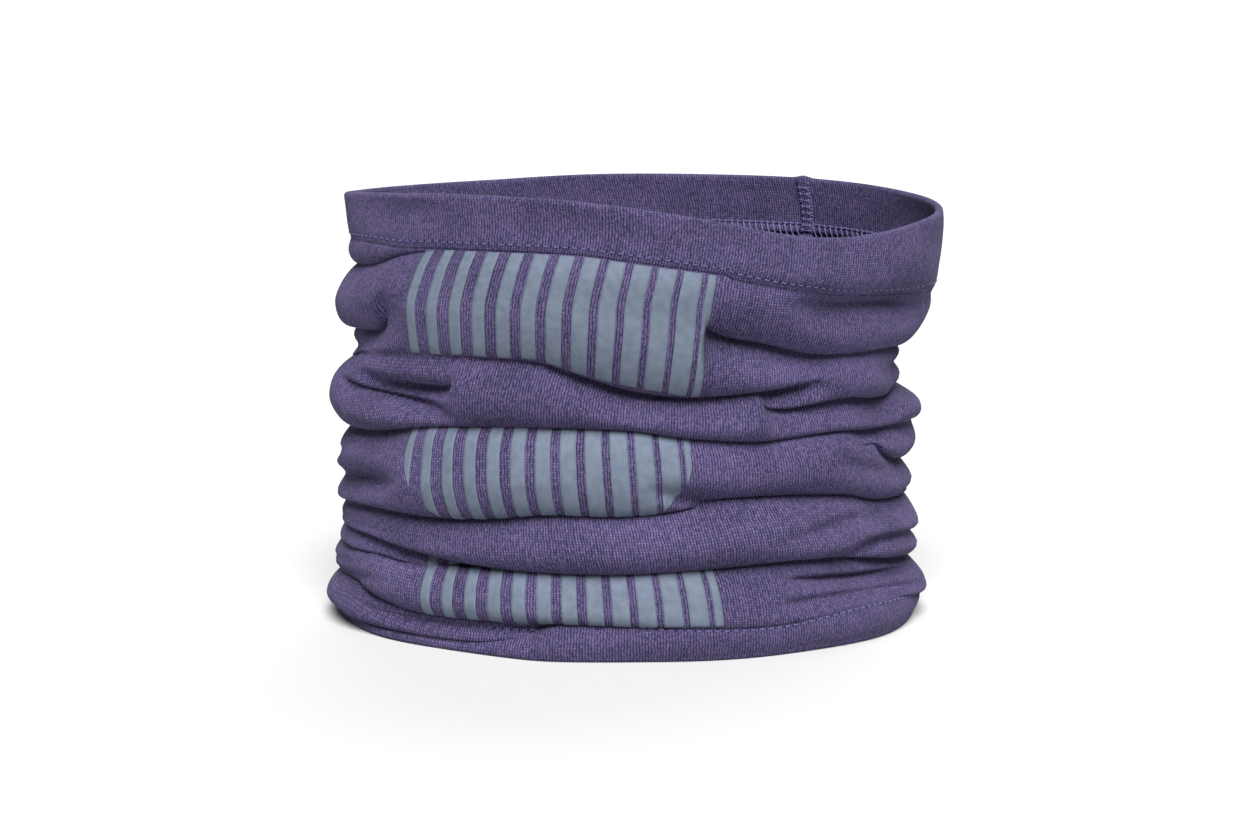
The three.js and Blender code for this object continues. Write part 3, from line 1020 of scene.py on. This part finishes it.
def sheet(
    name: str,
    steps: tuple[int, int],
    place: Callable[[np.ndarray, np.ndarray], tuple[np.ndarray, np.ndarray]],
    closed: bool = False,
) -> bpy.types.Object:
    """Makes a piece of cloth or film from a flat grid.

    Args:
        name: the piece's name.
        steps: the grid's steps across and up.
        place: gives, for whole steps across and up, points in mm and their place on the flat cloth in mm.
        closed: whether the sheet's two sides meet.

    Returns:
        The new object, its place in its mesh.
    """
    mesh = bpy.data.meshes.new(name)
    build = bmesh.new()
    layer = build.loops.layers.uv.new(CLOTH_MAP)
    bmesh.ops.create_grid(build, x_segments=steps[0], y_segments=steps[1], size=1)
    corners = np.array([vertex.co[:2] for vertex in build.verts])
    spots = np.rint((corners + 1) / 2 * steps).astype(int)
    points, flat = place(spots[:, 0], spots[:, 1])
    for vertex, point in zip(build.verts, points * MM):
        vertex.co = point
    for face in build.faces:
        for corner in face.loops:
            corner[layer].uv = flat[corner.vert.index] * MM
    if closed:
        bmesh.ops.remove_doubles(build, verts=build.verts, dist=0.01 * MM)
    build.to_mesh(mesh)
    build.free()
    return into_scene(name, mesh)


def thicken(piece: bpy.types.Object, thickness: float, offset: float) -> None:
    """Gives a sheet its thickness, in mm, behind its face (offset -1) or in front of it (1)."""
    solid = piece.modifiers.new("thickness", "SOLIDIFY")
    solid.thickness = thickness * MM
    solid.offset = offset
    solid.use_even_offset = False


def threads(name: str, strands: list[np.ndarray], radius: float, closed: bool = False) -> bpy.types.Object:
    """Makes lengths of thread, as one piece.

    Args:
        name: the piece's name.
        strands: each length's points, as rows of x, y and z in mm and a share of the thread's thickness.
        radius: the thread's radius, in mm.
        closed: whether each length joins up with itself.

    Returns:
        The new object.
    """
    curve = bpy.data.curves.new(name, "CURVE")
    curve.dimensions = "3D"
    curve.bevel_depth = radius * MM
    curve.bevel_resolution = 1
    curve.use_fill_caps = True
    for strand in strands:
        spline = curve.splines.new("POLY")
        spline.points.add(len(strand) - 1)
        places = np.concatenate([strand[:, :3] * MM, np.ones((len(strand), 1))], axis=1)
        spline.points.foreach_set("co", places.ravel())
        spline.points.foreach_set("radius", strand[:, 3].copy())
        spline.use_cyclic_u = closed
    return into_scene(name, curve)


@dataclass
class Tube:
    """The single layer of jersey between the hems."""

    cloth: Cloth
    name: str = "jersey_tube"

    def build(self, finishes: Finishes) -> None:
        """Makes the tube."""
        cloth = self.cloth
        first, last = cloth.line_rows[1], cloth.line_rows[-2]

        def place(column: np.ndarray, step: np.ndarray) -> tuple[np.ndarray, np.ndarray]:
            """Places the tube's grid."""
            row = first + step
            return cloth.at(column, row), cloth.flat(column, cloth.row_lengths[row])

        piece = sheet(self.name, (cloth.columns, int(last - first)), place, closed=True)
        thicken(piece, cloth.thickness, -1)
        finishes.dress(piece, Slot.KNIT, "main_tube")


@dataclass
class Hem:
    """One end of the panel, turned in and stitched down: two layers joined by a rounded fold.

    Attributes:
        cloth: the panel.
        side: which end it is.
        fold_steps: steps round the fold.
        inner_steps: steps down the turned-in layer.
    """

    cloth: Cloth
    side: Side
    fold_steps: int = 8
    inner_steps: int = 12

    def build(self, finishes: Finishes) -> None:
        """Makes the hem."""
        cloth, side = self.cloth, self.side
        edge_row, line_row = cloth.edge_rows(side)
        outer = abs(edge_row - line_row)
        steps = outer + self.fold_steps + self.inner_steps
        radius = cloth.fold_radius

        def place(column: np.ndarray, step: np.ndarray) -> tuple[np.ndarray, np.ndarray]:
            """Places the hem's grid: up its outer layer, round the fold and down its inner layer."""
            row = np.where(step <= outer, line_row + side.up * step, edge_row)
            turn = np.clip((step - outer) / self.fold_steps, 0, 1) * math.pi
            down = np.clip((step - outer - self.fold_steps) / self.inner_steps, 0, 1) * cloth.turned[side]
            inwards = radius * (1 - np.cos(turn))[:, None]
            points = cloth.at(column, row) - inwards * cloth.outward(column, side)
            points[:, 2] += side.up * radius * np.sin(turn)
            inside = step > outer + self.fold_steps
            points[inside] = cloth.turned_in(column[inside], down[inside], side)
            length = cloth.row_lengths[row] + side.up * (radius * turn + down)
            return points, cloth.flat(column, length)

        name = f"folded_{side.name.lower()}_hem"
        piece = sheet(name, (cloth.columns, steps), place, closed=True)
        if side is Side.BOTTOM:
            piece.data.flip_normals()
        thicken(piece, cloth.thickness, -1)
        finishes.dress(piece, Slot.KNIT, f"{side.name.lower()}_hem")
        length = abs(float(cloth.row_lengths[edge_row] - cloth.row_lengths[line_row]))
        length += math.pi * radius + cloth.turned[side]
        LOG.info("%s: cloth %.0f by %.0f mm", name, cloth.drape.girth, length)


@dataclass
class HemStitching:
    """A coverstitch: a needle row outside, and the looper's slanted loops over the raw edge inside.

    Attributes:
        cloth: the panel.
        side: the hem that it holds.
        needle_gap: how far up the cloth the needle row lies from the hem's line, in mm.
        stitch: length of a stitch, in mm, with the hole it enters by.
        shown: how much of that shows on the outside.
        radius: the needle thread's radius, in mm.
        loop_radius: the looper thread's in its loops.
        chain_radius: and in the chain along their upper ends.
        spread: height of the looper's loops, in mm.
        loop_pitch: their spacing, in mm.
        slant: how far a loop leans over its height, in mm.
        edge: how far past the raw edge the loops come down to the tube, in mm.
    """

    cloth: Cloth
    side: Side
    needle_gap: float
    stitch: float = 2.8
    shown: float = 2.0
    radius: float = 0.2
    loop_radius: float = 0.32
    chain_radius: float = 0.24
    spread: float = 5.2
    loop_pitch: float = 2.2
    slant: float = 2.4
    edge: float = 1.2

    def build(self, finishes: Finishes) -> None:
        """Makes both threads."""
        hem = f"{self.side.name.lower()}_hem"
        needle = threads(f"{hem}_needle_stitches", self.needle_row(), self.radius)
        finishes.dress(needle, Slot.THREAD, f"{hem}_needle_thread")
        loops = threads(f"{hem}_looper_loops", self.loops(), self.loop_radius)
        finishes.dress(loops, Slot.THREAD, f"{hem}_looper_thread")
        chain = threads(f"{hem}_looper_chain", [self.chain()], self.chain_radius, closed=True)
        finishes.dress(chain, Slot.THREAD, f"{hem}_looper_thread")

    def needle_length(self) -> float:
        """How far up the cloth the needle row runs, in mm."""
        _, line_row = self.cloth.edge_rows(self.side)
        return float(self.cloth.row_lengths[line_row]) + self.needle_gap

    def needle_row(self) -> list[np.ndarray]:
        """Each outside stitch: a short length, sunk into the cloth at both ends."""
        cloth = self.cloth
        share = np.linspace(-0.5, 0.5, 5)
        sink = np.array([-0.16, 0.04, 0.1, 0.04, -0.16])
        thick = np.array([0.35, 0.95, 1.0, 0.95, 0.35])
        count = round(cloth.drape.girth / self.stitch)
        columns = (np.arange(count)[:, None] + share * self.shown / self.stitch) / count * cloth.columns
        row = np.full(len(share), cloth.row_of_length(self.needle_length()))
        return [np.column_stack([cloth.at(column, row, sink), thick]) for column in columns]

    def inside(self, column: np.ndarray, over: np.ndarray, lift: np.ndarray | float) -> np.ndarray:
        """Finds places about the raw edge, on the hem's inner layer or beyond it on the tube.

        Args:
            column: positions round the net, in steps.
            over: how far they lie over the edge, on the hem, in mm, or beyond it where negative.
            lift: height off the cloth, in mm.

        Returns:
            Points in mm.
        """
        cloth = self.cloth
        down = cloth.turned[self.side] - over
        on_hem = cloth.turned_in(column, down, self.side, lift)
        edge_level = cloth.level_at_edge(column, self.side)
        row = cloth.row_at_level(column, edge_level - self.side.up * down)
        on_tube = cloth.at(column, row, -cloth.thickness - lift)
        share = np.clip(over / self.edge + 1, 0, 1)[:, None]
        return share * on_hem + (1 - share) * on_tube

    def loops(self) -> list[np.ndarray]:
        """The looper's slanted loops."""
        share = np.linspace(-0.5, 0.5, 6)
        lift = np.array([0.0, 0.22, 0.24, 0.24, 0.22, 0.0])
        count = round(self.cloth.drape.girth / self.loop_pitch)
        lean = share * self.slant / self.loop_pitch
        columns = (np.arange(count)[:, None] + 0.5 + lean) / count * self.cloth.columns
        strands = [self.inside(column, share * self.spread, lift) for column in columns]
        return [np.column_stack([strand, np.ones(len(share))]) for strand in strands]

    def chain(self) -> np.ndarray:
        """The looper's chain, four places to a loop."""
        places = 4 * round(self.cloth.drape.girth / self.loop_pitch)
        step = np.arange(places)
        beat = np.cos(step * math.pi / 2)
        column = step / places * self.cloth.columns
        points = self.inside(column, self.spread / 2 + 0.25 * beat, 0.25 + 0.1 * beat)
        return np.column_stack([points, 1.0 + 0.25 * beat])


@dataclass
class BackSeam:
    """The flat seam that closes the tube: a low ridge inside, under two stitched rows and crossing threads.

    Attributes:
        cloth: the panel.
        width: the ridge's width, in mm.
        height: its height over the cloth, in mm.
        thickness: of its layer of cloth, in mm.
        across: steps across it.
        row_gap: from one stitched row to the other, in mm.
        stitch: length of a stitch, in mm.
        row_radius: the thread's radius in the rows, in mm.
        cover_radius: and where it crosses the seam.
    """

    cloth: Cloth
    width: float = 5.0
    height: float = 1.0
    thickness: float = 0.7
    across: int = 8
    row_gap: float = 2.6
    stitch: float = 1.7
    row_radius: float = 0.26
    cover_radius: float = 0.2

    def build(self, finishes: Finishes) -> None:
        """Makes the ridge and its threads."""
        cloth = self.cloth

        def place(step: np.ndarray, row: np.ndarray) -> tuple[np.ndarray, np.ndarray]:
            """Places the ridge's grid."""
            across = (step / self.across * 2 - 1) * self.width / 2
            column = across / cloth.drape.girth * cloth.columns
            return cloth.lining(column, row, self.crown(across)), cloth.flat(column, cloth.row_lengths[row])

        ridge = sheet("back_seam_ridge", (self.across, len(cloth.row_lengths) - 1), place)
        ridge.data.flip_normals()
        thicken(ridge, self.thickness, -1)
        finishes.dress(ridge, Slot.KNIT, "back_seam_allowance")
        rows = threads("back_seam_stitches", self.stitches(), self.row_radius)
        finishes.dress(rows, Slot.THREAD, "back_seam_overlock_thread")
        covers = threads("back_seam_cover_threads", self.covers(), self.cover_radius)
        finishes.dress(covers, Slot.THREAD, "back_seam_overlock_thread")

    def crown(self, across: np.ndarray) -> np.ndarray:
        """The ridge's height over the cloth, by mm across it."""
        return 0.1 + self.height * np.sqrt(np.clip(1 - (2 * across / self.width) ** 2, 0, 1))

    def spot(self, across: np.ndarray, length: np.ndarray, lift: np.ndarray | float) -> np.ndarray:
        """Places on the ridge, by mm across it and mm along the cloth."""
        column = across / self.cloth.drape.girth * self.cloth.columns
        return self.cloth.lining(column, self.cloth.row_of_length(length), self.crown(across) + lift)

    def stitches(self) -> list[np.ndarray]:
        """The two stitched rows."""
        lift = np.array([0.0, 0.16, 0.16, 0.0])
        thick = np.array([0.5, 1, 1, 0.5])
        count = int(self.cloth.row_lengths[-1] / self.stitch)
        lengths = (np.arange(count)[:, None] + 0.5 + np.linspace(-0.36, 0.36, 4)) * self.stitch
        sides = [np.full(4, side * self.row_gap) for side in (-0.5, 0.5)]
        return [np.column_stack([self.spot(side, l, lift), thick]) for side in sides for l in lengths]

    def covers(self) -> list[np.ndarray]:
        """The threads that cross the seam from row to row."""
        share = np.linspace(-1, 1, 5)
        across = share * (self.width / 2 - 0.15)
        strands = []
        for i in range(int(self.cloth.row_lengths[-1] / self.stitch)):
            for lean in (-0.25, 0.25):
                length = np.maximum(i + 0.5 + lean * share, 0) * self.stitch
                strands.append(np.column_stack([self.spot(across, length, 0.08), np.ones(5)]))
        return strands


@dataclass(frozen=True)
class PrintBlock:
    """One block of bars.

    Attributes:
        name: which block it is.
        ring: the tuck that it stands over, counted up from the lower hem's.
        foot: its lower edge, as degrees and mm of cloth over that tuck.
        head: its upper edge, as mm of cloth past the next tuck.
        corner: radius of its lower corners, in mm.
    """

    name: str
    ring: int
    foot: Points
    head: float
    corner: float = 0.0


@dataclass
class Prints:
    """The bars of film on the front, with gaps that narrow towards the right.

    Attributes:
        cloth: the panel.
        bars: how many each block has.
        start_degrees: where their left edges start, before the twist.
        pitch: from one bar to the next, in mm.
        first_gap: the gap after the first bar, in mm.
        last_gap: and before the last.
        closing_bar: width of the last bar, in mm.
        lift: how far the film's back stands off the cloth's face, in mm.
        thickness: the film's, in mm.
        mesh: size of its mesh, across and up, in mm.
        turn: degrees round the front for each mm of cloth, by which a block's foot is read.
        least: a bar's least length, in mm.
        blocks: the blocks.
    """

    cloth: Cloth
    bars: int = 13
    start_degrees: float = -46.0
    pitch: float = 7.5
    first_gap: float = 4.1
    last_gap: float = 1.6
    closing_bar: float = 2.6
    lift: float = 0.08
    thickness: float = 0.12
    mesh: tuple[float, float] = (0.8, 0.55)
    turn: float = 0.67
    least: float = 1.0
    blocks: tuple[PrintBlock, ...] = (
        PrintBlock("upper", 4, ((-50, 2), (-24, 2.4), (-12, 5.5), (0, 8.6), (8, 9), (14, 8), (22, 6)), -0.5),
        PrintBlock("middle", 2, ((-50, 0.6), (60, 0.6)), 1.5, corner=27.0),
        PrintBlock("lower", 0, ((-50, 1.0), (60, 1.0)), 0.8),
    )

    def build(self, finishes: Finishes) -> None:
        """Makes every bar."""
        for block in self.blocks:
            for i in range(self.bars):
                bar = self.bar(block, i)
                thicken(bar, self.thickness, 1)
                finishes.dress(bar, Slot.FILM, f"{block.name}_print_bar_{i + 1:02d}")

    def bar(self, block: PrintBlock, index: int) -> bpy.types.Object:
        """Lays one bar on the cloth.

        Args:
            block: the block that it belongs to.
            index: its number from the left, from 0.

        Returns:
            The bar, without its thickness.
        """
        cloth = self.cloth
        last = self.bars - 1
        total = last * self.pitch + self.closing_bar
        left = index * self.pitch
        gap = self.first_gap + (self.last_gap - self.first_gap) * index / (last - 1)
        width = self.closing_bar if index == last else self.pitch - gap
        start = float(cloth.column_of(np.array(self.start_degrees)))
        low = cloth.row_lengths[cloth.line_rows[block.ring + 1]]
        high = cloth.row_lengths[cloth.line_rows[block.ring + 2]] + block.head
        steps = (max(3, round(width / self.mesh[0])), round((high - low) / self.mesh[1]))

        def place(step: np.ndarray, rise: np.ndarray) -> tuple[np.ndarray, np.ndarray]:
            """Places the bar's grid."""
            over = left + width * step / steps[0]
            column = start + over / cloth.drape.girth * cloth.columns
            inset = np.clip(block.corner - np.minimum(over, total - over), 0, block.corner)
            arch = block.corner - np.sqrt(block.corner**2 - inset**2)
            edge = np.interp(self.start_degrees + over * self.turn, *zip(*block.foot))
            foot = np.minimum(low + edge + arch, high - self.least)
            length = foot + (high - foot) * rise / steps[1]
            return cloth.at(column, cloth.row_of_length(length), self.lift), cloth.flat(column, length)

        return sheet(f"{block.name}_bar_{index + 1:02d}", steps, place)


# ---------------------------------------------------------------- the studio


@dataclass(frozen=True)
class SoftLight:
    """A large soft light far off.

    Attributes:
        name: its name.
        down: degrees down from overhead.
        turn: degrees round from the front.
        strength: its strength.
        softness: how many degrees it spans.
    """

    name: str
    down: float
    turn: float
    strength: float
    softness: float

    def build(self) -> None:
        """Adds the light."""
        light = bpy.data.lights.new(self.name, "SUN")
        light.energy = self.strength
        light.angle = math.radians(self.softness)
        into_scene(self.name, light).rotation_euler = (math.radians(self.down), 0, math.radians(self.turn))


@dataclass
class Studio:
    """A pale floor, soft even light and the camera.

    Attributes:
        aim: what the camera looks at, in metres.
        distance: how far off it stands, in metres.
        elevation: how many degrees above the aim.
        lens: its focal length, in mm.
        sky: strength of the light from all round.
        backdrop: brightness of the plain background behind the floor.
        lights: the lights.
        floor_size: from the floor's middle to its edge, in metres.
    """

    aim: tuple[float, float, float] = (0.0, 0.0, 0.061)
    distance: float = 0.62
    elevation: float = 8.5
    lens: float = 55.7
    sky: float = 0.1
    backdrop: float = 1.15
    lights: tuple[SoftLight, ...] = (SoftLight("key", 38, 4, 6.25, 40), SoftLight("back", 50, 165, 2.125, 60))
    floor_size: float = 30.0

    def build(self) -> None:
        """Makes everything."""
        self.make_camera()
        for light in self.lights:
            light.build()
        self.make_floor()
        world = bpy.data.worlds.new("studio")
        world.use_nodes = True
        tree = world.node_tree
        seen = add(tree, "LightPath", output="Is Camera Ray")
        strength = add(tree, "MapRange", seen, named={"To Min": self.sky, "To Max": self.backdrop})
        tree.nodes["Background"].inputs["Color"].default_value = linear("#ffffff")
        tree.links.new(strength, tree.nodes["Background"].inputs["Strength"])
        bpy.context.scene.world = world
        bpy.context.scene.view_settings.view_transform = "Standard"

    def make_camera(self) -> None:
        """Adds the camera."""
        camera = bpy.data.cameras.new("camera")
        camera.lens = self.lens
        camera.sensor_width = 36
        camera.clip_start = 0.01
        holder = into_scene("camera", camera)
        tilt = math.radians(self.elevation)
        holder.location = Vector(self.aim) + self.distance * Vector((0, -math.cos(tilt), math.sin(tilt)))
        holder.rotation_euler = (math.radians(90) - tilt, 0, 0)
        bpy.context.scene.camera = holder

    def make_floor(self) -> None:
        """Adds the floor."""
        mesh = bpy.data.meshes.new("floor")
        build = bmesh.new()
        bmesh.ops.create_grid(build, x_segments=2, y_segments=2, size=self.floor_size)
        build.to_mesh(mesh)
        build.free()
        mesh.materials.append(BackdropPaper().make())
        into_scene("floor", mesh)


def main() -> None:
    """Builds the gaiter in its studio."""
    logging.basicConfig(level=logging.INFO, format="%(message)s")
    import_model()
    Studio().build()
    low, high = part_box("main_tube")
    half_width, half_depth = ((high[axis] - low[axis]) / 2 / MM - CAD_CREST for axis in (0, 1))
    cloth = Cloth(Drape(half_width, half_depth))
    gaps = {Side.TOP: 2.6, Side.BOTTOM: -0.8}
    stitchings = [HemStitching(cloth, side, needle_gap=gap) for side, gap in gaps.items()]
    needle_rows = tuple(stitching.needle_length() for stitching in stitchings)
    finishes = Finishes(needle_rows, cloth.drape.girth / round(cloth.drape.girth / stitchings[0].stitch))
    Tube(cloth).build(finishes)
    for stitching in stitchings:
        Hem(cloth, stitching.side).build(finishes)
        stitching.build(finishes)
    BackSeam(cloth).build(finishes)
    Prints(cloth).build(finishes)


if __name__ == "__main__":
    main()
